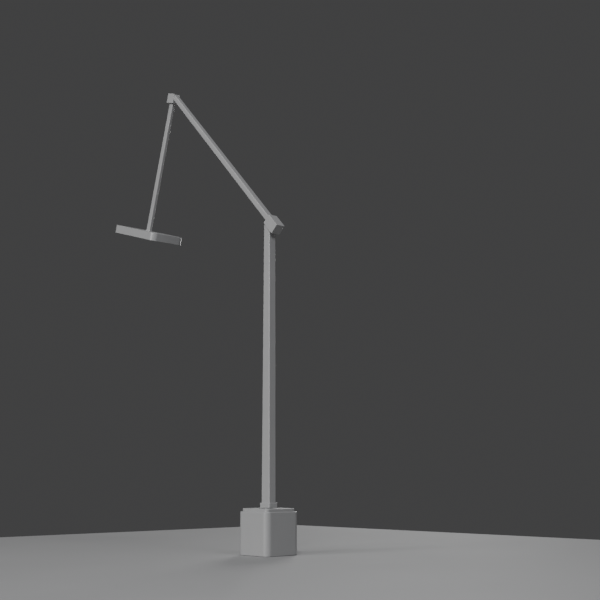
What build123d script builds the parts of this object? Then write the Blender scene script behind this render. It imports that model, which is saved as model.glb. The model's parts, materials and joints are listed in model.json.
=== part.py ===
from build123d import *
import os
from math import cos, radians, sin

# Adjustable arm floor lamp: a weighted square base, a tapering post that swivels on it, an arm that tilts
# on the post's head, and a flat lamp head on a thin rod that tilts and turns at the arm's tip.
# Millimetres, +Z up. The origin is the centre of the base's underside, and the arm reaches towards -X in
# the plane XZ.

# ---- Driving dimensions ----
RUN_GAP = 0.05  # radial and axial clearance of everything that turns
HOLE_PLAY = 0.1  # radial clearance of a fixed screw or bushing in its hole
PLUG_GAP = 0.3  # clearance on each side of a plug in a tube, or a plate in its shell
OVERCUT = 1.0  # how far an open-ended cut runs past the outer face

PAD_THICK = 1.0
PAD_INSET = 0.8
PAD_CHAMFER = 0.3
BASE_SIDE = 141.4
BASE_TOP = 138.8
BASE_CORNER = 20.0
SHELL_WALL = 2.0
SHELL_RIM_FILLET = 3.0
SHELL_FOOT_CHAMFER = 0.4
PLATE_THICK = 5.0
TIER_SIDE = 125.0
TIER_CORNER = 12.0
TIER_HEIGHT = 10.0
TIER_RIM_FILLET = 2.4
PLATE_SCREW_SPACING = 108.0
GLAND_HEIGHT = 30.0

COLLAR_LENGTH = 47.4
COLLAR_WIDTH = 38.2
COLLAR_HEIGHT = 15.5
COLLAR_CORNER = 5.5
COLLAR_CHAMFER = 1.6
SPIGOT_HEIGHT = 30.0

POST_WALL = 2.0
POST_FOOT_SIZE = (38.4, 28.6)
POST_TOP_SIZE = (28.2, 27.4)
POST_TOP = 1089.3
POST_CORNER = 2.4
TUBE_INNER_CORNER = 0.8

KNUCKLE_X = 21.0
KNUCKLE_Z = 1086.8
KNUCKLE_TAIL = 29.5
KNUCKLE_NOSE = 28.0
KNUCKLE_HALF_DEPTH = 18.3
KNUCKLE_HALF_WIDTH = 18.2
KNUCKLE_CHEEK = 4.2
KNUCKLE_AXLE = 4.0
KNUCKLE_EYE = 11.5
BLOCK_FILLET = 1.0

ARM_SLOPE = 46.2
ARM_LENGTH = 802.0
ARM_WALL = 1.8
ARM_FOOT_SIZE = (26.2, 19.2)
ARM_TIP_SIZE = (20.8, 17.6)
ARM_CORNER = 3.4
ARM_TIP_SETBACK = 6.0

ROD_LEAN = 15.7
ROD_OFFSET = -9.5
ROD_SIZE = (20.6, 11.4)
ROD_WALL = 1.4
ROD_CORNER = 1.8
ROD_GAP = 3.0
ROD_REACH = 516.7

CLEVIS_LEFT = -29.0
CLEVIS_RIGHT = 10.0
CLEVIS_LOW = -26.75
CLEVIS_HIGH = 8.75
CLEVIS_HALF_WIDTH = 13.2
CLEVIS_CHEEK = 2.6
TIP_AXLE = 3.5
TIP_EYE = 8.5
STUD_RADIUS = 4.0

HEAD_LENGTH = 261.5
HEAD_WIDTH = 142.0
HEAD_HEIGHT = 29.4
HEAD_CORNER = 22.0
HEAD_WALL = 2.2
HEAD_ROOF = 2.4
HEAD_RIM_FILLET = 1.6
HEAD_LIP_FILLET = 0.8
BEZEL_THICK = 3.0
WINDOW_SIZE = (200.0, 98.0)
WINDOW_SHIFT = 8.0
HEAD_SCREW_SPACING = (236.0, 118.0)
BUTTON_PLACE = -110.0
BUTTON_RADIUS = 6.0
BUTTON_PLAY = 0.2

# ---- Planes ----
KNUCKLE = Vector(KNUCKLE_X, 0, KNUCKLE_Z)
ARM_AXIS = Vector(-cos(radians(ARM_SLOPE)), 0, sin(radians(ARM_SLOPE)))
ARM_SIDE = Plane(origin=KNUCKLE, x_dir=ARM_AXIS, z_dir=(0, 1, 0))
TIP = KNUCKLE + ARM_AXIS * ARM_LENGTH
ROD_UP = Vector(sin(radians(ROD_LEAN)), 0, cos(radians(ROD_LEAN)))
ROD_ACROSS = Vector(cos(radians(ROD_LEAN)), 0, -sin(radians(ROD_LEAN)))
ROD_SIDE = Plane(origin=TIP, x_dir=ROD_ACROSS, z_dir=(0, -1, 0))


def level(height):
    """Horizontal plane at a height above the floor."""
    return Plane.XY.offset(height)


def across_axle(pivot, y):
    """Plane square to an axle that runs along Y through the pivot."""
    return Plane(origin=(pivot.X, y, pivot.Z), x_dir=(1, 0, 0), z_dir=(0, 1, 0))


def across_arm(distance):
    """Plane square to the arm, at a distance from the knuckle's axle; its x is the lamp's Y."""
    return Plane(origin=KNUCKLE + ARM_AXIS * distance, x_dir=(0, 1, 0), z_dir=ARM_AXIS)


def across_rod(height):
    """Plane square to the rod and centred on it, at a height from the tip's axle; its y is the lamp's Y."""
    return Plane(origin=TIP + ROD_UP * height + ROD_ACROSS * ROD_OFFSET, x_dir=ROD_ACROSS, z_dir=ROD_UP)


def shrunk(size, margin):
    """A rectangle's two sides, made smaller by a margin all round."""
    return (size[0] - 2 * margin, size[1] - 2 * margin)


def save(piece, name):
    """Labels a finished piece and writes its STEP file."""
    piece.part.label = name
    export_step(piece.part, f"parts/{name}.step")


def ring(plane, outer, inner, thickness):
    """A plain washer standing on a plane."""
    with BuildPart() as piece:
        with BuildSketch(plane):
            Circle(outer)
            Circle(inner, mode=Mode.SUBTRACT)
        extrude(amount=thickness)
    return piece


def hex_nut(plane, corner_radius, bore, thickness):
    """A hexagon nut standing on a plane."""
    with BuildPart() as piece:
        with BuildSketch(plane):
            RegularPolygon(corner_radius, 6)
            Circle(bore, mode=Mode.SUBTRACT)
        extrude(amount=thickness)
    return piece


def washer_pair(pivot, outer, inner, near, thickness):
    """Two friction washers on one axle, mirrored about the lamp's middle plane."""
    with BuildPart() as piece:
        with BuildSketch(across_axle(pivot, near)):
            Circle(outer)
            Circle(inner, mode=Mode.SUBTRACT)
        extrude(amount=thickness)
        mirror(about=Plane.XZ)
    return piece


def axle(pivot, radius, head_radius, head_depth, thread_radius, thread_depth, half_width):
    """A shouldered pin: flush plain head on the -Y side, threaded and socketed tail on the +Y side."""
    with BuildPart() as piece:
        with BuildSketch(across_axle(pivot, -half_width)):
            Circle(head_radius)
        extrude(amount=head_depth)
        with BuildSketch(across_axle(pivot, -half_width + head_depth)):
            Circle(radius)
        extrude(amount=2 * half_width - head_depth - thread_depth)
        with BuildSketch(across_axle(pivot, half_width - thread_depth)):
            Circle(thread_radius)
        extrude(amount=thread_depth)
        with BuildSketch(across_axle(pivot, half_width)):
            RegularPolygon(thread_radius / 2, 6)
        extrude(amount=-thread_depth, mode=Mode.SUBTRACT)
    return piece


os.makedirs("parts", exist_ok=True)

# ---- Base ----
PLATE_TOP = PAD_THICK + PLATE_THICK
TIER_TOP = BASE_TOP + TIER_HEIGHT
BALLAST_TOP = BASE_TOP - SHELL_WALL
BOTTOM_SIDE = BASE_SIDE - 2 * (SHELL_WALL + PLUG_GAP)
BALLAST_SIDE = 133.0
BALLAST_CORNER = 16.0
NUT_POCKET_TOP = 60.0
NUT_POCKET_RADIUS = 20.0
DUCT_RADIUS = 6.0
SHANK_RADIUS = 8.0
SHANK_HOLE = 8.2
SHANK_END = 40.0
SCREW_RADIUS = 2.4
SCREW_HEAD_RADIUS = 4.9
SCREW_LENGTH = 20.0
SCREW_SOCKET_RADIUS = 1.7
SCREW_SOCKET_DEPTH = 1.8
UPWARDS = (Align.CENTER, Align.CENTER, Align.MIN)

with BuildPart() as floor_pad:
    with BuildSketch(level(0)):
        RectangleRounded(BASE_SIDE - 2 * PAD_INSET, BASE_SIDE - 2 * PAD_INSET, BASE_CORNER - PAD_INSET)
    extrude(amount=PAD_THICK)
    chamfer(floor_pad.faces().sort_by(Axis.Z)[0].edges(), PAD_CHAMFER)
save(floor_pad, "floor_pad")

with BuildPart() as base_plate:
    with BuildSketch(level(PAD_THICK)):
        RectangleRounded(BOTTOM_SIDE, BOTTOM_SIDE, BASE_CORNER - SHELL_WALL)
    extrude(amount=PLATE_THICK)
    with Locations(Plane(origin=(0, 0, PAD_THICK), z_dir=(0, 0, -1))):
        with GridLocations(PLATE_SCREW_SPACING, PLATE_SCREW_SPACING, 2, 2):
            CounterSinkHole(SCREW_RADIUS + HOLE_PLAY, SCREW_HEAD_RADIUS + HOLE_PLAY, PLATE_THICK)
save(base_plate, "base_plate")

with BuildPart() as base_plate_screws:
    with Locations((0, 0, PAD_THICK)):
        with GridLocations(PLATE_SCREW_SPACING, PLATE_SCREW_SPACING, 2, 2):
            Cone(SCREW_HEAD_RADIUS, SCREW_RADIUS, SCREW_HEAD_RADIUS - SCREW_RADIUS, align=UPWARDS)
            Cylinder(SCREW_RADIUS, SCREW_LENGTH, align=UPWARDS)
    with BuildSketch(level(PAD_THICK)):
        with GridLocations(PLATE_SCREW_SPACING, PLATE_SCREW_SPACING, 2, 2):
            RegularPolygon(SCREW_SOCKET_RADIUS, 6)
    extrude(amount=SCREW_SOCKET_DEPTH, mode=Mode.SUBTRACT)
save(base_plate_screws, "base_plate_screws")

DRIVER_SIZE = (90.0, 24.0, 30.0)
DRIVER_PLACE = -46.0
DRIVER_ROOM = 2.0
DRIVER_CORNER = 2.0

with BuildPart() as ballast_block:
    with BuildSketch(level(PLATE_TOP)):
        RectangleRounded(BALLAST_SIDE, BALLAST_SIDE, BALLAST_CORNER)
    extrude(amount=BALLAST_TOP - PLATE_TOP)
    with BuildSketch(level(PLATE_TOP)):
        Circle(SHANK_HOLE)
    extrude(amount=BALLAST_TOP - PLATE_TOP, mode=Mode.SUBTRACT)
    with BuildSketch(level(PLATE_TOP)):
        Circle(NUT_POCKET_RADIUS)
    extrude(amount=NUT_POCKET_TOP - PLATE_TOP, mode=Mode.SUBTRACT)
    with BuildSketch(Plane.XZ.offset(-BALLAST_SIDE / 2)):
        with Locations((0, GLAND_HEIGHT)):
            Circle(DUCT_RADIUS)
    extrude(amount=BALLAST_SIDE / 2, mode=Mode.SUBTRACT)
    with BuildSketch(level(PLATE_TOP)):
        with Locations((0, DRIVER_PLACE)):
            Rectangle(DRIVER_SIZE[0] + 2 * DRIVER_ROOM, DRIVER_SIZE[1] + 2 * DRIVER_ROOM)
    extrude(amount=DRIVER_SIZE[2] + DRIVER_ROOM, mode=Mode.SUBTRACT)
    with BuildSketch(level(PLATE_TOP)):
        with GridLocations(PLATE_SCREW_SPACING, PLATE_SCREW_SPACING, 2, 2):
            Circle(SCREW_RADIUS + HOLE_PLAY)
    extrude(amount=SCREW_LENGTH, mode=Mode.SUBTRACT)
save(ballast_block, "ballast_block")

with BuildPart() as led_driver:
    with BuildSketch(level(PLATE_TOP)):
        with Locations((0, DRIVER_PLACE)):
            RectangleRounded(DRIVER_SIZE[0], DRIVER_SIZE[1], DRIVER_CORNER)
    extrude(amount=DRIVER_SIZE[2])
save(led_driver, "led_driver")

with BuildPart() as base_shell:
    with BuildSketch(level(PAD_THICK)):
        RectangleRounded(BASE_SIDE, BASE_SIDE, BASE_CORNER)
    extrude(amount=BASE_TOP - PAD_THICK)
    fillet(base_shell.faces().sort_by(Axis.Z)[-1].edges(), SHELL_RIM_FILLET)
    chamfer(base_shell.faces().sort_by(Axis.Z)[0].edges(), SHELL_FOOT_CHAMFER)
    with BuildSketch(level(PAD_THICK)):
        RectangleRounded(BASE_SIDE - 2 * SHELL_WALL, BASE_SIDE - 2 * SHELL_WALL, BASE_CORNER - SHELL_WALL)
    extrude(amount=BALLAST_TOP - PAD_THICK, mode=Mode.SUBTRACT)
    with BuildSketch(level(BALLAST_TOP)):
        Circle(SHANK_HOLE)
    extrude(amount=SHELL_WALL, mode=Mode.SUBTRACT)
    with BuildSketch(Plane.XZ.offset(-BASE_SIDE / 2)):
        with Locations((0, GLAND_HEIGHT)):
            Circle(DUCT_RADIUS)
    extrude(amount=2 * SHELL_WALL, mode=Mode.SUBTRACT)
save(base_shell, "base_shell")

with BuildPart() as tier_plate:
    with BuildSketch(level(BASE_TOP)):
        RectangleRounded(TIER_SIDE, TIER_SIDE, TIER_CORNER)
        Circle(SHANK_HOLE, mode=Mode.SUBTRACT)
    extrude(amount=TIER_HEIGHT)
    outer_rim = tier_plate.faces().sort_by(Axis.Z)[-1].outer_wire().edges()
    fillet(outer_rim, TIER_RIM_FILLET)
save(tier_plate, "tier_plate")

# The gland: a flanged bushing in the rear wall, bored for the mains lead
GLAND_BORE = 3.5
GLAND_FLANGE_RADIUS = 9.0
GLAND_FLANGE_THICK = 2.0
GLAND_BODY = 10.0
GLAND_FILLET = 1.2

with BuildPart() as cord_gland:
    with BuildSketch(Plane.XZ.offset(-BASE_SIDE / 2)):
        with Locations((0, GLAND_HEIGHT)):
            Circle(GLAND_FLANGE_RADIUS)
    extrude(amount=-GLAND_FLANGE_THICK)
    fillet(cord_gland.faces().sort_by(Axis.Y)[-1].edges(), GLAND_FILLET)
    with BuildSketch(Plane.XZ.offset(-BASE_SIDE / 2)):
        with Locations((0, GLAND_HEIGHT)):
            Circle(DUCT_RADIUS - HOLE_PLAY)
    extrude(amount=GLAND_BODY)
    with BuildSketch(Plane.XZ.offset(-BASE_SIDE / 2 - GLAND_FLANGE_THICK)):
        with Locations((0, GLAND_HEIGHT)):
            Circle(GLAND_BORE)
    extrude(amount=GLAND_BODY + GLAND_FLANGE_THICK, mode=Mode.SUBTRACT)
save(cord_gland, "cord_gland")

# ---- Swivel between base and post ----
FLANGE_RADIUS = 14.0
FLANGE_THICK = 1.2
THRUST_THICK = 0.6
JOURNAL_RADIUS = 7.0
THREAD_RADIUS = 6.0
SPINDLE_BORE = 4.0
WASHER_THICK = 0.8
SWIVEL_NUT_THICK = 6.5
COLLAR_FOOT = TIER_TOP + FLANGE_THICK + THRUST_THICK + RUN_GAP
POST_FOOT = COLLAR_FOOT + COLLAR_HEIGHT
JOURNAL_TOP = POST_FOOT + RUN_GAP + WASHER_THICK
THREAD_END = 3.0
SPINDLE_TOP = JOURNAL_TOP + SWIVEL_NUT_THICK + THREAD_END
SPIGOT_CAVITY = 9.8
SWIVEL_NUT_RADIUS = 9.4
THRUST_RADIUS = 13.0

with BuildPart() as spindle:
    with BuildSketch(level(SHANK_END)):
        Circle(SHANK_RADIUS)
    extrude(amount=TIER_TOP - SHANK_END)
    with BuildSketch(level(TIER_TOP)):
        Circle(FLANGE_RADIUS)
    extrude(amount=FLANGE_THICK)
    with BuildSketch(level(TIER_TOP + FLANGE_THICK)):
        Circle(JOURNAL_RADIUS)
    extrude(amount=JOURNAL_TOP - TIER_TOP - FLANGE_THICK)
    with BuildSketch(level(JOURNAL_TOP)):
        Circle(THREAD_RADIUS)
    extrude(amount=SPINDLE_TOP - JOURNAL_TOP)
    with BuildSketch(level(SHANK_END)):
        Circle(SPINDLE_BORE)
    extrude(amount=SPINDLE_TOP - SHANK_END, mode=Mode.SUBTRACT)
save(spindle, "spindle")

SPINDLE_NUT_THICK = 10.0
SPINDLE_NUT_RADIUS = 14.0
SPINDLE_NUT_FOOT = NUT_POCKET_TOP - SPINDLE_NUT_THICK

save(hex_nut(level(SPINDLE_NUT_FOOT), SPINDLE_NUT_RADIUS, SHANK_RADIUS, SPINDLE_NUT_THICK), "spindle_nut")
save(
    ring(level(TIER_TOP + FLANGE_THICK), THRUST_RADIUS, JOURNAL_RADIUS + HOLE_PLAY, THRUST_THICK),
    "thrust_washer",
)
save(ring(level(POST_FOOT + RUN_GAP), SWIVEL_NUT_RADIUS, JOURNAL_RADIUS, WASHER_THICK), "swivel_washer")
save(hex_nut(level(JOURNAL_TOP), SWIVEL_NUT_RADIUS, THREAD_RADIUS, SWIVEL_NUT_THICK), "swivel_nut")

# ---- Post ----
GRUB_RISE = 14.0
GRUB_SUNK = 0.6
GRUB_HEIGHT = POST_FOOT + GRUB_RISE
GRUB_SPACING = 16.0
GRUB_RADIUS = 2.0
GRUB_OUTER = POST_FOOT_SIZE[1] / 2 - GRUB_SUNK
GRUB_LENGTH = 5.0
GRUB_SOCKET_RADIUS = 1.2
GRUB_SOCKET_DEPTH = 2.0
SPIGOT_CORNER = 1.0
SPIGOT_SIZE = shrunk(POST_FOOT_SIZE, POST_WALL + PLUG_GAP)

with BuildPart() as collar:
    with BuildSketch(level(COLLAR_FOOT)):
        RectangleRounded(COLLAR_LENGTH, COLLAR_WIDTH, COLLAR_CORNER)
    extrude(amount=COLLAR_HEIGHT)
    chamfer(collar.faces().sort_by(Axis.Z)[-1].edges(), COLLAR_CHAMFER)
    with BuildSketch(level(POST_FOOT)):
        RectangleRounded(*SPIGOT_SIZE, SPIGOT_CORNER)
    extrude(amount=SPIGOT_HEIGHT)
    with BuildSketch(level(COLLAR_FOOT)):
        Circle(JOURNAL_RADIUS + RUN_GAP)
    extrude(amount=COLLAR_HEIGHT, mode=Mode.SUBTRACT)
    with BuildSketch(level(POST_FOOT)):
        Circle(SPIGOT_CAVITY)
    extrude(amount=SPIGOT_HEIGHT, mode=Mode.SUBTRACT)
    with BuildSketch(Plane.XZ.offset(-GRUB_OUTER)):
        with Locations((0, GRUB_HEIGHT)):
            with GridLocations(GRUB_SPACING, 1, 2, 1):
                Circle(GRUB_RADIUS)
    extrude(amount=GRUB_LENGTH, mode=Mode.SUBTRACT)
save(collar, "collar")

with BuildPart() as collar_screws:
    with BuildSketch(Plane.XZ.offset(-GRUB_OUTER)):
        with Locations((0, GRUB_HEIGHT)):
            with GridLocations(GRUB_SPACING, 1, 2, 1):
                Circle(GRUB_RADIUS)
    extrude(amount=GRUB_LENGTH)
    with BuildSketch(Plane.XZ.offset(-GRUB_OUTER)):
        with Locations((0, GRUB_HEIGHT)):
            with GridLocations(GRUB_SPACING, 1, 2, 1):
                RegularPolygon(GRUB_SOCKET_RADIUS, 6)
    extrude(amount=GRUB_SOCKET_DEPTH, mode=Mode.SUBTRACT)
save(collar_screws, "collar_screws")

# Inside the knuckle the post's tube is cut level on the arm's side and along a slope, a little inside the
# line that the knuckle housing's cheeks hide, and the post head carries on from that slope to the eye.
SEAM_DEPTH = 16.0


def seam_point(x):
    """Point of the sloping seam at x, in the XZ plane."""
    normal = Vector(-ARM_AXIS.Z, 0, ARM_AXIS.X)
    return (x, KNUCKLE_Z + (SEAM_DEPTH - (x - KNUCKLE_X) * normal.X) / normal.Z)


def seam_x(z):
    """x of the sloping seam at a height."""
    normal = Vector(-ARM_AXIS.Z, 0, ARM_AXIS.X)
    return KNUCKLE_X + (SEAM_DEPTH - (z - KNUCKLE_Z) * normal.Z) / normal.X


SEAM_LEFT = (seam_x(POST_TOP), POST_TOP)
SEAM_RIGHT = seam_point(POST_TOP_SIZE[0] / 2)

with BuildPart() as post_tube:
    with BuildSketch(level(POST_FOOT)):
        RectangleRounded(*POST_FOOT_SIZE, POST_CORNER)
    with BuildSketch(level(POST_TOP)):
        RectangleRounded(*POST_TOP_SIZE, POST_CORNER)
    loft()
    with BuildSketch(level(POST_FOOT)):
        RectangleRounded(*shrunk(POST_FOOT_SIZE, POST_WALL), TUBE_INNER_CORNER)
    with BuildSketch(level(POST_TOP)):
        RectangleRounded(*shrunk(POST_TOP_SIZE, POST_WALL), TUBE_INNER_CORNER)
    loft(mode=Mode.SUBTRACT)
    with BuildSketch(Plane.XZ):
        Polygon(
            SEAM_LEFT,
            seam_point(POST_FOOT_SIZE[0]),
            (POST_FOOT_SIZE[0], POST_TOP + OVERCUT),
            (SEAM_LEFT[0], POST_TOP + OVERCUT),
            align=None,
        )
    extrude(amount=POST_FOOT_SIZE[1], both=True, mode=Mode.SUBTRACT)
    with BuildSketch(Plane.XZ.offset(-POST_FOOT_SIZE[1] / 2)):
        with Locations((0, GRUB_HEIGHT)):
            with GridLocations(GRUB_SPACING, 1, 2, 1):
                Circle(GRUB_RADIUS)
    extrude(amount=2 * POST_WALL, mode=Mode.SUBTRACT)
save(post_tube, "post_tube")

HEAD_PLUG_FOOT = 1030.0
HEAD_PLUG_HALF = [side / 2 for side in shrunk(POST_TOP_SIZE, POST_WALL + PLUG_GAP)]
KNUCKLE_INNER = KNUCKLE_HALF_WIDTH - KNUCKLE_CHEEK
KNUCKLE_WASHER = 1.0
EYE_HALF_WIDTH = KNUCKLE_INNER - KNUCKLE_WASHER - 2 * RUN_GAP
EYE_UNDERCUT = 0.5
WIRE_BORE = 2.5

with BuildPart() as post_head:
    with BuildSketch(Plane.XZ):
        with Locations((KNUCKLE_X, KNUCKLE_Z)):
            Circle(KNUCKLE_EYE)
        Polygon(SEAM_LEFT, SEAM_RIGHT, (KNUCKLE_X, KNUCKLE_Z), align=None)
        make_hull()
    extrude(amount=POST_TOP_SIZE[1] / 2, both=True)
    with BuildSketch(Plane.XZ):
        Polygon(
            (-HEAD_PLUG_HALF[0], HEAD_PLUG_FOOT),
            (HEAD_PLUG_HALF[0], HEAD_PLUG_FOOT),
            seam_point(HEAD_PLUG_HALF[0]),
            SEAM_LEFT,
            (-HEAD_PLUG_HALF[0], POST_TOP),
            align=None,
        )
    extrude(amount=HEAD_PLUG_HALF[1], both=True)
    with BuildSketch(across_axle(KNUCKLE, EYE_HALF_WIDTH)):
        Circle(KNUCKLE_EYE - EYE_UNDERCUT)
    extrude(amount=POST_TOP_SIZE[1], mode=Mode.SUBTRACT)
    with BuildSketch(across_axle(KNUCKLE, -EYE_HALF_WIDTH)):
        Circle(KNUCKLE_EYE - EYE_UNDERCUT)
    extrude(amount=-POST_TOP_SIZE[1], mode=Mode.SUBTRACT)
    with BuildSketch(across_axle(KNUCKLE, 0)):
        Circle(KNUCKLE_AXLE + RUN_GAP)
    extrude(amount=POST_TOP_SIZE[1], both=True, mode=Mode.SUBTRACT)
save(post_head, "post_head")

# ---- Knuckle and arm ----
NOSE_WALL = 5.0
TAIL_WALL = 3.5
ROOF_WALL = 4.0
NOSE_LIP = -9.5
AXLE_HEAD_RADIUS = 5.5
AXLE_HEAD_DEPTH = 1.8
AXLE_NUT_DEPTH = 2.5
AXLE_THREAD = 3.0
WASHER_INSET = 1.0
ARM_SPIGOT = 40.0

with BuildPart() as knuckle_housing:
    with BuildSketch(ARM_SIDE):
        with Locations((KNUCKLE_NOSE, 0)):
            Rectangle(KNUCKLE_NOSE + KNUCKLE_TAIL, 2 * KNUCKLE_HALF_DEPTH, align=(Align.MAX, Align.CENTER))
    extrude(amount=KNUCKLE_HALF_WIDTH, both=True)
    fillet(knuckle_housing.edges(), BLOCK_FILLET)
    with BuildSketch(ARM_SIDE):
        Polygon(
            (KNUCKLE_NOSE + OVERCUT, NOSE_LIP),
            (KNUCKLE_NOSE - NOSE_WALL, NOSE_LIP),
            (KNUCKLE_NOSE - NOSE_WALL, KNUCKLE_HALF_DEPTH - ROOF_WALL),
            (-KNUCKLE_TAIL + TAIL_WALL, KNUCKLE_HALF_DEPTH - ROOF_WALL),
            (-KNUCKLE_TAIL + TAIL_WALL, -KNUCKLE_HALF_DEPTH - OVERCUT),
            (KNUCKLE_NOSE + OVERCUT, -KNUCKLE_HALF_DEPTH - OVERCUT),
            align=None,
        )
    extrude(amount=KNUCKLE_INNER, both=True, mode=Mode.SUBTRACT)
    with BuildSketch(across_arm(KNUCKLE_NOSE)):
        Rectangle(*shrunk(ARM_FOOT_SIZE, ARM_WALL + PLUG_GAP))
    extrude(amount=ARM_SPIGOT)
    with BuildSketch(across_axle(KNUCKLE, 0)):
        Circle(KNUCKLE_AXLE)
    extrude(amount=KNUCKLE_HALF_WIDTH, both=True, mode=Mode.SUBTRACT)
    with BuildSketch(across_axle(KNUCKLE, -KNUCKLE_HALF_WIDTH)):
        Circle(AXLE_HEAD_RADIUS)
    extrude(amount=AXLE_HEAD_DEPTH, mode=Mode.SUBTRACT)
    with BuildSketch(across_axle(KNUCKLE, KNUCKLE_HALF_WIDTH)):
        Circle(AXLE_HEAD_RADIUS)
    extrude(amount=-AXLE_NUT_DEPTH, mode=Mode.SUBTRACT)
save(knuckle_housing, "knuckle_housing")

knuckle_axle = axle(
    KNUCKLE,
    KNUCKLE_AXLE,
    AXLE_HEAD_RADIUS,
    AXLE_HEAD_DEPTH,
    AXLE_THREAD,
    AXLE_NUT_DEPTH,
    KNUCKLE_HALF_WIDTH,
)
save(knuckle_axle, "knuckle_axle")

KNUCKLE_NUT_SEAT = across_axle(KNUCKLE, KNUCKLE_HALF_WIDTH - AXLE_NUT_DEPTH)
save(ring(KNUCKLE_NUT_SEAT, AXLE_HEAD_RADIUS, AXLE_THREAD, AXLE_NUT_DEPTH), "knuckle_nut")

knuckle_washers = washer_pair(
    KNUCKLE,
    KNUCKLE_EYE - WASHER_INSET,
    KNUCKLE_AXLE + RUN_GAP,
    EYE_HALF_WIDTH + RUN_GAP,
    KNUCKLE_WASHER,
)
save(knuckle_washers, "knuckle_washers")

ARM_TUBE_END = ARM_LENGTH - ARM_TIP_SETBACK

with BuildPart() as arm_tube:
    with BuildSketch(across_arm(KNUCKLE_NOSE)):
        RectangleRounded(*ARM_FOOT_SIZE, ARM_CORNER)
    with BuildSketch(across_arm(ARM_TUBE_END)):
        RectangleRounded(*ARM_TIP_SIZE, ARM_CORNER)
    loft()
    with BuildSketch(across_arm(KNUCKLE_NOSE)):
        RectangleRounded(*shrunk(ARM_FOOT_SIZE, ARM_WALL), TUBE_INNER_CORNER)
    with BuildSketch(across_arm(ARM_TUBE_END)):
        RectangleRounded(*shrunk(ARM_TIP_SIZE, ARM_WALL), TUBE_INNER_CORNER)
    loft(mode=Mode.SUBTRACT)
save(arm_tube, "arm_tube")

CLEVIS_INNER = CLEVIS_HALF_WIDTH - CLEVIS_CHEEK
TIP_WASHER = 1.0
TIP_WASHER_RADIUS = 5.8
TIP_EYE_HALF_WIDTH = CLEVIS_INNER - TIP_WASHER - 2 * RUN_GAP
ARM_PLUG = 40.0

with BuildPart() as arm_end:
    with BuildSketch(ARM_SIDE):
        with Locations((ARM_LENGTH, 0)):
            Circle(TIP_EYE)
            Rectangle(ARM_TIP_SETBACK, 2 * TIP_EYE, align=(Align.MAX, Align.CENTER))
        with Locations((ARM_TUBE_END, 0)):
            Rectangle(TIP_EYE, 2 * TIP_EYE, align=(Align.MAX, Align.CENTER), mode=Mode.SUBTRACT)
    extrude(amount=TIP_EYE_HALF_WIDTH, both=True)
    with BuildSketch(across_arm(ARM_TUBE_END - ARM_PLUG)):
        Rectangle(*shrunk(ARM_TIP_SIZE, ARM_WALL + PLUG_GAP))
    extrude(amount=ARM_PLUG)
    with BuildSketch(across_axle(TIP, 0)):
        Circle(TIP_AXLE + RUN_GAP)
    extrude(amount=CLEVIS_HALF_WIDTH, both=True, mode=Mode.SUBTRACT)
save(arm_end, "arm_end")

# ---- Hanger: the block at the arm's tip ----
CLEVIS_WEB = 5.0
CLEVIS_FLOOR = 8.5
CLEVIS_ROOF = 3.5
ROOF_END = -11.5
TIP_HEAD_RADIUS = 4.8
TIP_HEAD_DEPTH = 1.2
TIP_NUT_DEPTH = 1.4
TIP_THREAD = 2.5

with BuildPart() as tip_clevis:
    with BuildSketch(ROD_SIDE):
        with Locations((CLEVIS_LEFT, CLEVIS_LOW)):
            Rectangle(CLEVIS_RIGHT - CLEVIS_LEFT, CLEVIS_HIGH - CLEVIS_LOW, align=(Align.MIN, Align.MIN))
    extrude(amount=CLEVIS_HALF_WIDTH, both=True)
    fillet(tip_clevis.edges(), BLOCK_FILLET)
    with BuildSketch(ROD_SIDE):
        Polygon(
            (CLEVIS_LEFT + CLEVIS_WEB, CLEVIS_LOW + CLEVIS_FLOOR),
            (CLEVIS_RIGHT + OVERCUT, CLEVIS_LOW + CLEVIS_FLOOR),
            (CLEVIS_RIGHT + OVERCUT, CLEVIS_HIGH + OVERCUT),
            (ROOF_END, CLEVIS_HIGH + OVERCUT),
            (ROOF_END, CLEVIS_HIGH - CLEVIS_ROOF),
            (CLEVIS_LEFT + CLEVIS_WEB, CLEVIS_HIGH - CLEVIS_ROOF),
            align=None,
        )
    extrude(amount=CLEVIS_INNER, both=True, mode=Mode.SUBTRACT)
    with BuildSketch(across_rod(CLEVIS_LOW)):
        Circle(STUD_RADIUS + RUN_GAP)
    extrude(amount=CLEVIS_FLOOR, mode=Mode.SUBTRACT)
    with BuildSketch(across_axle(TIP, 0)):
        Circle(TIP_AXLE)
    extrude(amount=CLEVIS_HALF_WIDTH, both=True, mode=Mode.SUBTRACT)
    with BuildSketch(across_axle(TIP, -CLEVIS_HALF_WIDTH)):
        Circle(TIP_HEAD_RADIUS)
    extrude(amount=TIP_HEAD_DEPTH, mode=Mode.SUBTRACT)
    with BuildSketch(across_axle(TIP, CLEVIS_HALF_WIDTH)):
        Circle(TIP_HEAD_RADIUS)
    extrude(amount=-TIP_NUT_DEPTH, mode=Mode.SUBTRACT)
save(tip_clevis, "tip_clevis")

tip_axle = axle(
    TIP,
    TIP_AXLE,
    TIP_HEAD_RADIUS,
    TIP_HEAD_DEPTH,
    TIP_THREAD,
    TIP_NUT_DEPTH,
    CLEVIS_HALF_WIDTH,
)
save(tip_axle, "tip_axle")

TIP_NUT_SEAT = across_axle(TIP, CLEVIS_HALF_WIDTH - TIP_NUT_DEPTH)
save(ring(TIP_NUT_SEAT, TIP_HEAD_RADIUS, TIP_THREAD, TIP_NUT_DEPTH), "tip_nut")

tip_washers = washer_pair(
    TIP,
    TIP_WASHER_RADIUS,
    TIP_AXLE + RUN_GAP,
    TIP_EYE_HALF_WIDTH + RUN_GAP,
    TIP_WASHER,
)
save(tip_washers, "tip_washers")

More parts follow.
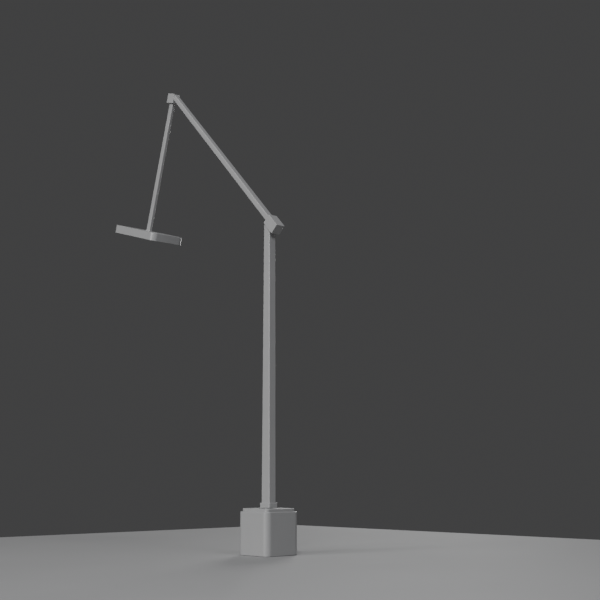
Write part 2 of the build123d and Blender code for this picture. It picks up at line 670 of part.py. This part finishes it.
# ---- Rod and its swivel ----
ROD_TOP = CLEVIS_LOW - ROD_GAP
STUD_NUT_FOOT = CLEVIS_LOW + CLEVIS_FLOOR + RUN_GAP
STUD_NUT_THICK = 4.5
STUD_NUT_RADIUS = 7.4
SPACER_RADIUS = 5.4
STUD_PROUD = 0.8
STUD_TOP = STUD_NUT_FOOT + STUD_NUT_THICK + STUD_PROUD
ROD_PLUG = 30.0
ROD_PLUG_SIZE = shrunk(ROD_SIZE, ROD_WALL + PLUG_GAP)
FOOT_THICK = 3.5
FOOT_SIZE = (27.0, 17.0)
FOOT_CORNER = 3.0
FOOT_CHAMFER = 1.4
HEAD_TOP = -ROD_REACH

with BuildPart() as swivel_stud:
    with BuildSketch(across_rod(ROD_TOP - ROD_PLUG)):
        Rectangle(*ROD_PLUG_SIZE)
    extrude(amount=ROD_PLUG)
    with BuildSketch(across_rod(ROD_TOP)):
        Circle(STUD_RADIUS)
    extrude(amount=STUD_TOP - ROD_TOP)
    with BuildSketch(across_rod(ROD_TOP - ROD_PLUG)):
        Circle(WIRE_BORE)
    extrude(amount=STUD_TOP - ROD_TOP + ROD_PLUG, mode=Mode.SUBTRACT)
save(swivel_stud, "swivel_stud")

save(hex_nut(across_rod(STUD_NUT_FOOT), STUD_NUT_RADIUS, STUD_RADIUS, STUD_NUT_THICK), "stud_nut")
save(ring(across_rod(ROD_TOP), SPACER_RADIUS, STUD_RADIUS, ROD_GAP - RUN_GAP), "rod_spacer")

with BuildPart() as rod_tube:
    with BuildSketch(across_rod(HEAD_TOP + FOOT_THICK)):
        RectangleRounded(*ROD_SIZE, ROD_CORNER)
        Rectangle(*shrunk(ROD_SIZE, ROD_WALL), mode=Mode.SUBTRACT)
    extrude(amount=ROD_TOP - HEAD_TOP - FOOT_THICK)
save(rod_tube, "rod_tube")

FOOT_SCREW_SPACING = 20.5
FOOT_SCREW_RADIUS = 1.5
FOOT_SCREW_HEAD = 2.0
FOOT_SCREW_HEAD_RADIUS = 2.8
FOOT_SCREW_BITE = 2.3
FOOT_HOLE_DEPTH = 2.5
ALONG_ROD = Axis(origin=TIP, direction=ROD_UP)

with BuildPart() as rod_foot:
    with BuildSketch(across_rod(HEAD_TOP)):
        RectangleRounded(*FOOT_SIZE, FOOT_CORNER)
    extrude(amount=FOOT_THICK)
    chamfer(rod_foot.faces().sort_by(ALONG_ROD)[-1].edges(), FOOT_CHAMFER)
    with BuildSketch(across_rod(HEAD_TOP + FOOT_THICK)):
        Rectangle(*ROD_PLUG_SIZE)
    extrude(amount=ROD_PLUG)
    with BuildSketch(across_rod(HEAD_TOP)):
        Circle(WIRE_BORE)
    extrude(amount=FOOT_THICK + ROD_PLUG, mode=Mode.SUBTRACT)
    with BuildSketch(across_rod(HEAD_TOP)):
        with GridLocations(FOOT_SCREW_SPACING, 1, 2, 1):
            Circle(FOOT_SCREW_RADIUS)
    extrude(amount=FOOT_HOLE_DEPTH, mode=Mode.SUBTRACT)
save(rod_foot, "rod_foot")

with BuildPart() as foot_screws:
    with BuildSketch(across_rod(HEAD_TOP - HEAD_ROOF - FOOT_SCREW_HEAD)):
        with GridLocations(FOOT_SCREW_SPACING, 1, 2, 1):
            Circle(FOOT_SCREW_HEAD_RADIUS)
    extrude(amount=FOOT_SCREW_HEAD)
    with BuildSketch(across_rod(HEAD_TOP - HEAD_ROOF)):
        with GridLocations(FOOT_SCREW_SPACING, 1, 2, 1):
            Circle(FOOT_SCREW_RADIUS)
    extrude(amount=HEAD_ROOF + FOOT_SCREW_BITE)
save(foot_screws, "foot_screws")

# ---- Lamp head ----
HEAD_LOW = HEAD_TOP - HEAD_HEIGHT
ROOF_INSIDE = HEAD_TOP - HEAD_ROOF
BEZEL_TOP = HEAD_LOW + BEZEL_THICK
CAVITY_SIZE = shrunk((HEAD_LENGTH, HEAD_WIDTH), HEAD_WALL)
CAVITY_CORNER = HEAD_CORNER - HEAD_WALL
PILLAR_RADIUS = 4.5
PILOT_RADIUS = 1.4
HEAD_SCREW_LENGTH = 12.0
HEAD_SCREW_RADIUS = 1.3
HEAD_SCREW_HEAD_RADIUS = 2.9
HEAD_SCREW_PLAY = 0.2
HEAD_SCREW_HOLE = 1.6
HEAD_SOCKET_RADIUS = 1.1
HEAD_SOCKET_DEPTH = 1.2

with BuildPart() as head_housing:
    with BuildSketch(across_rod(HEAD_LOW)):
        RectangleRounded(HEAD_LENGTH, HEAD_WIDTH, HEAD_CORNER)
    extrude(amount=HEAD_HEIGHT)
    fillet(head_housing.faces().sort_by(ALONG_ROD)[-1].edges(), HEAD_RIM_FILLET)
    fillet(head_housing.faces().sort_by(ALONG_ROD)[0].edges(), HEAD_LIP_FILLET)
    with BuildSketch(across_rod(HEAD_LOW)):
        RectangleRounded(*CAVITY_SIZE, CAVITY_CORNER)
    extrude(amount=ROOF_INSIDE - HEAD_LOW, mode=Mode.SUBTRACT)
    with BuildSketch(across_rod(BEZEL_TOP)):
        with GridLocations(*HEAD_SCREW_SPACING, 2, 2):
            Circle(PILLAR_RADIUS)
    extrude(amount=ROOF_INSIDE - BEZEL_TOP)
    with BuildSketch(across_rod(BEZEL_TOP)):
        with GridLocations(*HEAD_SCREW_SPACING, 2, 2):
            Circle(PILOT_RADIUS)
    extrude(amount=HEAD_SCREW_LENGTH, mode=Mode.SUBTRACT)
    with BuildSketch(across_rod(ROOF_INSIDE)):
        with GridLocations(FOOT_SCREW_SPACING, 1, 2, 1):
            Circle(FOOT_SCREW_RADIUS)
        Circle(WIRE_BORE)
    extrude(amount=HEAD_ROOF, mode=Mode.SUBTRACT)
save(head_housing, "head_housing")

PLATE_SIZE = (242.0, 100.0)
PLATE_CORNER = 4.0
PLATE_OPENING = (32.0, 20.0)
OPENING_CORNER = 3.0
HEAT_PLATE_THICK = 2.5
BOARD_SIZE = (208.0, 100.0)
BOARD_CORNER = 3.0
BOARD_THICK = 1.6
BOARD_TOP = ROOF_INSIDE - HEAT_PLATE_THICK
BOARD_LOW = BOARD_TOP - BOARD_THICK
WINDOW_CORNER = 6.0
REFLECTOR_SIZE = (206.0, 102.0)
REFLECTOR_CORNER = 6.0
REFLECTOR_MOUTH = (202.0, 98.0)
REFLECTOR_MOUTH_CORNER = 5.0
REFLECTOR_THROAT = (194.0, 90.0)
REFLECTOR_THROAT_CORNER = 4.0
DIFFUSER_SIZE = (208.0, 106.0)
DIFFUSER_CORNER = 8.0
DIFFUSER_PLAY = 0.2
DIFFUSER_THICK = 2.0
DIFFUSER_STEP = 2.5
DIFFUSER_TOP = BEZEL_TOP + DIFFUSER_THICK
LED_SIZE = 5.0
LED_THICK = 1.2
LED_SPACING = (26.0, 32.0)
LED_GRID = (8, 3)

with BuildPart() as heat_plate:
    with BuildSketch(across_rod(BOARD_TOP)):
        RectangleRounded(*PLATE_SIZE, PLATE_CORNER)
        RectangleRounded(*PLATE_OPENING, OPENING_CORNER, mode=Mode.SUBTRACT)
    extrude(amount=HEAT_PLATE_THICK)
save(heat_plate, "heat_plate")

with BuildPart() as led_board:
    with BuildSketch(across_rod(BOARD_LOW)):
        with Locations((WINDOW_SHIFT, 0)):
            RectangleRounded(*BOARD_SIZE, BOARD_CORNER)
    extrude(amount=BOARD_THICK)
save(led_board, "led_board")

with BuildPart() as leds:
    with BuildSketch(across_rod(BOARD_LOW - LED_THICK)):
        with Locations((WINDOW_SHIFT, 0)):
            with GridLocations(*LED_SPACING, *LED_GRID):
                Rectangle(LED_SIZE, LED_SIZE)
    extrude(amount=LED_THICK)
save(leds, "leds")

with BuildPart() as reflector:
    with BuildSketch(across_rod(DIFFUSER_TOP)):
        with Locations((WINDOW_SHIFT, 0)):
            RectangleRounded(*REFLECTOR_SIZE, REFLECTOR_CORNER)
    extrude(amount=BOARD_LOW - DIFFUSER_TOP)
    with BuildSketch(across_rod(DIFFUSER_TOP)):
        with Locations((WINDOW_SHIFT, 0)):
            RectangleRounded(*REFLECTOR_MOUTH, REFLECTOR_MOUTH_CORNER)
    with BuildSketch(across_rod(BOARD_LOW)):
        with Locations((WINDOW_SHIFT, 0)):
            RectangleRounded(*REFLECTOR_THROAT, REFLECTOR_THROAT_CORNER)
    loft(mode=Mode.SUBTRACT)
save(reflector, "reflector")

with BuildPart() as diffuser:
    with BuildSketch(across_rod(BEZEL_TOP)):
        with Locations((WINDOW_SHIFT, 0)):
            RectangleRounded(*DIFFUSER_SIZE, DIFFUSER_CORNER)
    extrude(amount=DIFFUSER_THICK)
    with BuildSketch(across_rod(BEZEL_TOP - DIFFUSER_STEP)):
        with Locations((WINDOW_SHIFT, 0)):
            RectangleRounded(*shrunk(WINDOW_SIZE, DIFFUSER_PLAY), WINDOW_CORNER - DIFFUSER_PLAY)
    extrude(amount=DIFFUSER_STEP)
save(diffuser, "diffuser")

with BuildPart() as bezel:
    with BuildSketch(across_rod(HEAD_LOW)):
        RectangleRounded(*shrunk(CAVITY_SIZE, HOLE_PLAY), CAVITY_CORNER - HOLE_PLAY)
        with Locations((WINDOW_SHIFT, 0)):
            RectangleRounded(*WINDOW_SIZE, WINDOW_CORNER, mode=Mode.SUBTRACT)
        with Locations((BUTTON_PLACE, 0)):
            Circle(BUTTON_RADIUS + BUTTON_PLAY, mode=Mode.SUBTRACT)
    extrude(amount=BEZEL_THICK)
    with Locations(Plane(origin=across_rod(HEAD_LOW).origin, x_dir=ROD_ACROSS, z_dir=-ROD_UP)):
        with GridLocations(*HEAD_SCREW_SPACING, 2, 2):
            CounterSinkHole(HEAD_SCREW_HOLE, HEAD_SCREW_HEAD_RADIUS + HEAD_SCREW_PLAY, BEZEL_THICK)
save(bezel, "bezel")

with BuildPart() as bezel_screws:
    with Locations(across_rod(HEAD_LOW)):
        with GridLocations(*HEAD_SCREW_SPACING, 2, 2):
            Cone(
                HEAD_SCREW_HEAD_RADIUS,
                HEAD_SCREW_RADIUS,
                HEAD_SCREW_HEAD_RADIUS - HEAD_SCREW_RADIUS,
                align=UPWARDS,
            )
            Cylinder(HEAD_SCREW_RADIUS, HEAD_SCREW_LENGTH, align=UPWARDS)
    with BuildSketch(across_rod(HEAD_LOW)):
        with GridLocations(*HEAD_SCREW_SPACING, 2, 2):
            RegularPolygon(HEAD_SOCKET_RADIUS, 6)
    extrude(amount=HEAD_SOCKET_DEPTH, mode=Mode.SUBTRACT)
save(bezel_screws, "bezel_screws")

# ---- Push switch ----
SWITCH_SIDE = 14.0
SWITCH_CORNER = 1.0
SWITCH_RISE = 5.3
SWITCH_LOW = BEZEL_TOP + SWITCH_RISE
BUTTON_PROUD = 1.7
BUTTON_FLANGE_THICK = 1.2
BUTTON_FLANGE_RADIUS = 7.4
BUTTON_FILLET = 0.8
STEM_RADIUS = 3.0
STEM_LENGTH = 6.5
SWITCH_BORE_DEPTH = 7.0

with BuildPart() as switch_body:
    with BuildSketch(across_rod(SWITCH_LOW)):
        with Locations((BUTTON_PLACE, 0)):
            RectangleRounded(SWITCH_SIDE, SWITCH_SIDE, SWITCH_CORNER)
    extrude(amount=BOARD_TOP - SWITCH_LOW)
    with BuildSketch(across_rod(SWITCH_LOW)):
        with Locations((BUTTON_PLACE, 0)):
            Circle(STEM_RADIUS + 2 * RUN_GAP)
    extrude(amount=SWITCH_BORE_DEPTH, mode=Mode.SUBTRACT)
save(switch_body, "switch_body")

with BuildPart() as switch_button:
    with BuildSketch(across_rod(HEAD_LOW - BUTTON_PROUD)):
        with Locations((BUTTON_PLACE, 0)):
            Circle(BUTTON_RADIUS)
    extrude(amount=BUTTON_PROUD + BEZEL_THICK + RUN_GAP)
    fillet(switch_button.faces().sort_by(ALONG_ROD)[0].edges(), BUTTON_FILLET)
    with BuildSketch(across_rod(BEZEL_TOP + RUN_GAP)):
        with Locations((BUTTON_PLACE, 0)):
            Circle(BUTTON_FLANGE_RADIUS)
    extrude(amount=BUTTON_FLANGE_THICK)
    with BuildSketch(across_rod(BEZEL_TOP + RUN_GAP + BUTTON_FLANGE_THICK)):
        with Locations((BUTTON_PLACE, 0)):
            Circle(STEM_RADIUS)
    extrude(amount=STEM_LENGTH)
save(switch_button, "switch_button")
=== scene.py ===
"""Looks of the adjustable arm floor lamp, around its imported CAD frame. Metres, in the CAD frame."""

import json
from math import radians

import bpy
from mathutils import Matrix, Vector

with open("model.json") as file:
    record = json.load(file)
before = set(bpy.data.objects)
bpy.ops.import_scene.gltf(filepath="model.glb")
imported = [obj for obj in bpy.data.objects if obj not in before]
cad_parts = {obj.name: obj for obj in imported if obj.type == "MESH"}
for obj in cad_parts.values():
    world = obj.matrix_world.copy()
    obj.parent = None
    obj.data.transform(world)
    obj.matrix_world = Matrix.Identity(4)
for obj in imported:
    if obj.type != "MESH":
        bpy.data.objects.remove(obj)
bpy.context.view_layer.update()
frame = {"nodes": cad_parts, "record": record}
NODES = frame["nodes"]

# ---- Camera: eye level low, looking at the corner of the base, the arm going away to the left ----
CAMERA_PLACE = Vector((2.8113, -2.5505, 0.2676))
CAMERA_TURN = radians(46.245)
CAMERA_PITCH = radians(8.469)
CAMERA_LENS = 69.0
CAMERA_SENSOR = 36.0
CAMERA_REACH = 60.0


def make_camera():
    data = bpy.data.cameras.new("camera")
    data.lens = CAMERA_LENS
    data.sensor_width = CAMERA_SENSOR
    data.clip_end = CAMERA_REACH
    camera = bpy.data.objects.new("camera", data)
    camera.rotation_euler = (radians(90) + CAMERA_PITCH, 0, CAMERA_TURN)
    camera.location = CAMERA_PLACE
    bpy.context.scene.collection.objects.link(camera)
    bpy.context.scene.camera = camera


make_camera()

# ---- Node-tree helpers ----
BEVEL_SAMPLES = 6
NOISE_ROUGHNESS = 0.55
MIDDLE_STOPS = (0.3, 0.7)
WIDE_STOPS = (0.25, 0.75)
COLOUR_A, COLOUR_B, COLOUR_OUT = 6, 7, 2  # a Mix node's sockets when it mixes colours


class Tree:
    """A material's node tree, with short calls for the few nodes that these finishes use."""

    def __init__(self, name):
        self.material = bpy.data.materials.new(name)
        self.material.use_nodes = True
        self.nodes = self.material.node_tree.nodes
        self.links = self.material.node_tree.links
        self.shader = self.nodes["Principled BSDF"]
        self.place = self.nodes.new("ShaderNodeTexCoord").outputs["Object"]

    def set(self, **values):
        """Sets shader sockets that are the same all over."""
        for name, value in values.items():
            self.shader.inputs[name.replace("_", " ")].default_value = value

    def stretched(self, scale):
        """Object coordinates, scaled per axis."""
        mapping = self.nodes.new("ShaderNodeMapping")
        mapping.inputs["Scale"].default_value = scale
        self.links.new(self.place, mapping.inputs["Vector"])
        return mapping.outputs["Vector"]

    def noise(self, size, detail, vector=None):
        """Noise whose blobs are about the given size, in metres."""
        node = self.nodes.new("ShaderNodeTexNoise")
        node.inputs["Scale"].default_value = 1.0 / size
        node.inputs["Detail"].default_value = detail
        node.inputs["Roughness"].default_value = NOISE_ROUGHNESS
        self.links.new(vector or self.place, node.inputs["Vector"])
        return node.outputs["Fac"]

    def cells(self, size, feature="F1"):
        """Voronoi distance, with cells of about the given size, in metres."""
        node = self.nodes.new("ShaderNodeTexVoronoi")
        node.feature = feature
        node.inputs["Scale"].default_value = 1.0 / size
        self.links.new(self.place, node.inputs["Vector"])
        return node.outputs["Distance"]

    def ramp(self, factor, low, high, stops=MIDDLE_STOPS):
        """Ramp over a factor between two greys or two colours, which it reaches at the stops."""
        node = self.nodes.new("ShaderNodeValToRGB")
        for element, position, colour in zip(node.color_ramp.elements, stops, (low, high)):
            rgb = colour if isinstance(colour, tuple) else (colour,) * 3
            element.position = position
            element.color = (*rgb, 1.0)
        self.links.new(factor, node.inputs["Fac"])
        return node.outputs["Color"]

    def drift(self, low, high, size, detail, stops=MIDDLE_STOPS):
        """Two greys or two colours in blobs of about the given size, in metres."""
        return self.ramp(self.noise(size, detail), low, high, stops)

    def mix(self, factor, a, b):
        """Colour mix of two sockets by a factor socket."""
        node = self.nodes.new("ShaderNodeMix")
        node.data_type = "RGBA"
        self.links.new(factor, node.inputs["Factor"])
        self.links.new(a, node.inputs[COLOUR_A])
        self.links.new(b, node.inputs[COLOUR_B])
        return node.outputs[COLOUR_OUT]

    def math(self, operation, a, b):
        """Math on a socket and a socket or number."""
        node = self.nodes.new("ShaderNodeMath")
        node.operation = operation
        self.links.new(a, node.inputs[0])
        if isinstance(b, (int, float)):
            node.inputs[1].default_value = b
        else:
            self.links.new(b, node.inputs[1])
        return node.outputs["Value"]

    def edges(self, radius):
        """1 on flat faces, falling towards 0 along edges, over about the given radius."""
        bevel = self.nodes.new("ShaderNodeBevel")
        bevel.samples = BEVEL_SAMPLES
        bevel.inputs["Radius"].default_value = radius
        facing = self.nodes.new("ShaderNodeVectorMath")
        facing.operation = "DOT_PRODUCT"
        self.links.new(bevel.outputs["Normal"], facing.inputs[0])
        self.links.new(self.nodes.new("ShaderNodeNewGeometry").outputs["Normal"], facing.inputs[1])
        return facing.outputs["Value"]

    def bump(self, height, depth, strength):
        """Bump from a height socket, with the relief's depth in metres."""
        node = self.nodes.new("ShaderNodeBump")
        node.inputs["Distance"].default_value = depth
        node.inputs["Strength"].default_value = strength
        self.links.new(height, node.inputs["Height"])
        self.links.new(node.outputs["Normal"], self.shader.inputs["Normal"])

    def colour(self, socket):
        self.links.new(socket, self.shader.inputs["Base Color"])

    def rough(self, socket):
        self.links.new(socket, self.shader.inputs["Roughness"])


# ---- Finishes: sizes and depths are in metres ----
PAINT_GREY = 0.40
PAINT_IOR = 1.75
# Radius of the edge mask that paints edges lighter, partly as wear and partly as a painted highlight.
EDGE_WEAR_AND_HIGHLIGHT = 0.0022
EDGE_STOPS = (0.90, 0.995)
EDGE_POLISH = 0.10  # how much smoother a rubbed edge is
STEEL_GREY = 0.42


def tone(grey, warmth=0.0):
    """A near-neutral linear colour."""
    return (grey * (1 + warmth), grey, grey * (1 - warmth))


def powder_coat(name):
    """Satin powder coat: orange peel, faint mottling, edges painted lighter and made smoother, partly as
    rubbed wear and partly as a painted highlight.
    """
    tree = Tree(name)
    along_edges = tree.ramp(tree.edges(EDGE_WEAR_AND_HIGHLIGHT), 1.0, 0.0, EDGE_STOPS)
    # Mask of edges painted lighter: partly rubbed paint, partly a painted highlight.
    rubbed_and_highlit = tree.math("MULTIPLY", along_edges, tree.noise(size=0.02, detail=4.0))
    mottle = tree.noise(size=0.11, detail=3.0)
    fine = tree.noise(size=0.0011, detail=2.0)
    cloud = tree.ramp(mottle, tone(PAINT_GREY * 0.965, -0.004), tone(PAINT_GREY * 1.03, 0.003))
    pigment = tree.drift(
        tone(PAINT_GREY * 0.93), tone(PAINT_GREY * 1.05), size=0.0007, detail=1.0, stops=WIDE_STOPS
    )
    coat = tree.mix(tree.ramp(fine, 0.25, 0.55, stops=(0.4, 0.6)), cloud, pigment)
    # Lighter edge colour: partly rubbed paint, partly a painted highlight where light would catch the
    # edges.
    worn_and_highlit = tree.ramp(mottle, tone(PAINT_GREY * 1.20), tone(PAINT_GREY * 1.35))
    tree.colour(tree.mix(rubbed_and_highlit, coat, worn_and_highlit))
    satin = tree.drift(0.36, 0.45, size=0.035, detail=4.0, stops=WIDE_STOPS)
    tree.rough(tree.math("SUBTRACT", satin, tree.math("MULTIPLY", rubbed_and_highlit, EDGE_POLISH)))
    orange_peel = tree.math("ADD", tree.noise(size=0.0018, detail=2.0), fine)
    tree.bump(orange_peel, depth=0.00006, strength=0.5)
    tree.set(IOR=PAINT_IOR)
    return tree.material


def turned_steel(name):
    """Bare turned steel: fine rings of tool marks and a slight tarnish."""
    tree = Tree(name)
    marks = tree.noise(size=0.0006, detail=2.0, vector=tree.stretched((0.15, 3.0, 0.15)))
    tree.colour(tree.drift(tone(STEEL_GREY * 0.85, 0.02), tone(STEEL_GREY * 1.1), size=0.012, detail=4.0))
    tree.rough(tree.ramp(marks, 0.26, 0.42))
    tree.bump(marks, depth=0.00002, strength=0.6)
    tree.set(Metallic=1.0)
    return tree.material


def zinc_plate(name):
    """Bright zinc plating with a cloudy, faintly blue passivation."""
    tree = Tree(name)
    tree.colour(tree.drift((0.50, 0.52, 0.55), (0.62, 0.61, 0.58), size=0.004, detail=4.0))
    tree.rough(tree.drift(0.30, 0.45, size=0.0015, detail=3.0))
    tree.bump(tree.noise(size=0.0005, detail=2.0), depth=0.00002, strength=0.5)
    tree.set(Metallic=1.0)
    return tree.material


def cast_iron(name):
    """Sand-cast iron: pitted, dark, with a trace of brown."""
    tree = Tree(name)
    black, brown = (0.030, 0.029, 0.029), (0.062, 0.052, 0.046)
    tree.colour(tree.drift(black, brown, size=0.02, detail=5.0, stops=(0.3, 0.75)))
    tree.rough(tree.drift(0.62, 0.82, size=0.006, detail=3.0))
    sand = tree.math("ADD", tree.cells(size=0.0012), tree.noise(size=0.004, detail=4.0))
    tree.bump(sand, depth=0.0005, strength=0.7)
    tree.set(Metallic=0.6)
    return tree.material


def rubber(name):
    """Black pad rubber: matt, pebbled and dusty."""
    tree = Tree(name)
    tree.colour(tree.drift(tone(0.018), tone(0.034, 0.02), size=0.015, detail=4.0, stops=(0.3, 0.8)))
    tree.rough(tree.drift(0.72, 0.88, size=0.005, detail=2.0))
    tree.bump(tree.cells(size=0.0016, feature="SMOOTH_F1"), depth=0.00025, strength=0.6)
    return tree.material


def moulded_plastic(name, colour, rough, grain=0.0007):
    """Moulded plastic with a fine spark-eroded grain and slight colour drift."""
    tree = Tree(name)
    darker = tuple(c * 0.88 for c in colour)
    lighter = tuple(c * 1.08 for c in colour)
    tree.colour(tree.drift(darker, lighter, size=0.012, detail=3.0))
    tree.rough(tree.drift(rough - 0.05, rough + 0.06, size=0.003, detail=3.0))
    tree.bump(tree.noise(size=grain, detail=2.0), depth=0.00004, strength=0.6)
    return tree.material


def mill_aluminium(name):
    """Rolled aluminium sheet with its grain along the head."""
    tree = Tree(name)
    grain = tree.noise(size=0.0008, detail=3.0, vector=tree.stretched((0.04, 1.0, 0.04)))
    tree.colour(tree.drift(tone(0.62), tone(0.72), size=0.03, detail=3.0))
    tree.rough(tree.ramp(grain, 0.26, 0.40))
    tree.bump(grain, depth=0.00002, strength=0.5)
    tree.set(Metallic=1.0)
    return tree.material


def opal(name):
    """Opal acrylic: milky, with a trace of light in its depth and a satin face."""
    tree = Tree(name)
    tree.colour(tree.drift((0.80, 0.80, 0.78), (0.85, 0.85, 0.83), size=0.02, detail=2.0))
    tree.rough(tree.drift(0.30, 0.38, size=0.0012, detail=2.0))
    tree.bump(tree.noise(size=0.0009, detail=1.0), depth=0.00003, strength=0.4)
    tree.set(Subsurface_Weight=0.25, Subsurface_Scale=0.004)
    return tree.material


def phosphor(name):
    """Yellow phosphor over the LED dies, with a grainy set surface."""
    tree = Tree(name)
    tree.colour(tree.drift((0.72, 0.52, 0.10), (0.86, 0.68, 0.20), size=0.0008, detail=3.0))
    tree.rough(tree.drift(0.35, 0.5, size=0.0006, detail=2.0))
    tree.bump(tree.noise(size=0.0003, detail=2.0), depth=0.00003, strength=0.5)
    return tree.material


FINISHES = {
    "base_paint": powder_coat,
    "arm_paint": powder_coat,
    "bare_steel": turned_steel,
    "zinc_screw": zinc_plate,
    "iron_weight": cast_iron,
    "pad_rubber": rubber,
    "nylon": lambda name: moulded_plastic(name, tone(0.022), 0.5),
    "gland_plastic": lambda name: moulded_plastic(name, tone(0.028), 0.55),
    "driver_case": lambda name: moulded_plastic(name, (0.60, 0.60, 0.57), 0.45),
    "bare_alu": mill_aluminium,
    "board": lambda name: moulded_plastic(name, (0.78, 0.78, 0.75), 0.35, 0.0004),
    "led": phosphor,
    "white_plastic": lambda name: moulded_plastic(name, (0.80, 0.80, 0.79), 0.32),
    "opal": opal,
    "switch_plastic": lambda name: moulded_plastic(name, tone(0.030), 0.42),
}


def dress_nodes():
    """Gives every CAD node the finish of its material slot."""
    made = {slot: make(f"finish_{slot}") for slot, make in FINISHES.items()}
    for part in frame["record"]["subparts"]:
        mesh = NODES[part["node"]].data
        mesh.materials.clear()
        mesh.materials.append(made[part["material_slot"]])


dress_nodes()

# ---- Floor and studio light ----
FLOOR_HALF = 1.5
WORLD_COLOUR = (0.060, 0.060, 0.061, 1)
WHITE = (1, 1, 1)
COOL = (0.955, 0.965, 1.0)
AIM = (-0.1, 0, 0.7)
BIG = (1.6, 1.6)
SMALL = (1.2, 1.2)

# name, place, point it faces, width and height, watts, colour
LIGHTS = [
    ("key", (-1.274, -7.225, 2.259), AIM, BIG, 205, WHITE),
    ("second", (1.252, -7.1, 2.767), AIM, BIG, 100, WHITE),
    ("fill", (3.039, -3.622, 4.394), AIM, SMALL, 94, COOL),
    ("side", (4.579, -0.401, 4.557), AIM, SMALL, 42, COOL),
    ("top", (0.6, -0.5, 5.2), AIM, BIG, 26, WHITE),
    ("rear", (-3.6, 5.2, 2.2), (-0.1, 0, 1.0), (2.0, 2.0), 110, WHITE),
    ("low", (2.828, -3.62, 0.741), (-0.1, 0, 0.3), (0.4, 1.0), 3, WHITE),
]


def floor_paint(name):
    """Pale matt floor paint with a faint, broad mottling."""
    tree = Tree(name)
    tree.colour(tree.drift(tone(0.34), tone(0.36), size=0.8, detail=3.0))
    tree.rough(tree.drift(0.78, 0.82, size=0.4, detail=2.0))
    return tree.material


def make_floor():
    mesh = bpy.data.meshes.new("floor")
    corners = [(x, y, 0) for x, y in ((-1, -1), (1, -1), (1, 1), (-1, 1))]
    mesh.from_pydata([Vector(c) * FLOOR_HALF for c in corners], [], [(0, 1, 2, 3)])
    mesh.materials.append(floor_paint("floor_paint"))
    floor = bpy.data.objects.new("floor", mesh)
    bpy.context.scene.collection.objects.link(floor)


make_floor()


def soft_light(name, place, aim, size, power, colour):
    """A rectangular area light at a place, facing a point."""
    data = bpy.data.lights.new(name, "AREA")
    data.shape = "RECTANGLE"
    data.size, data.size_y = size
    data.energy = power
    data.color = colour
    light = bpy.data.objects.new(name, data)
    light.rotation_euler = (Vector(aim) - Vector(place)).to_track_quat("-Z", "Y").to_euler()
    light.location = place
    bpy.context.scene.collection.objects.link(light)


def make_world():
    world = bpy.data.worlds.new("studio")
    world.use_nodes = True
    background = world.node_tree.nodes["Background"]
    background.inputs["Color"].default_value = WORLD_COLOUR
    background.inputs["Strength"].default_value = 1.0
    bpy.context.scene.world = world


make_world()
for light in LIGHTS:
    soft_light(*light)

# ---- Update the view layer ----
bpy.context.view_layer.update()
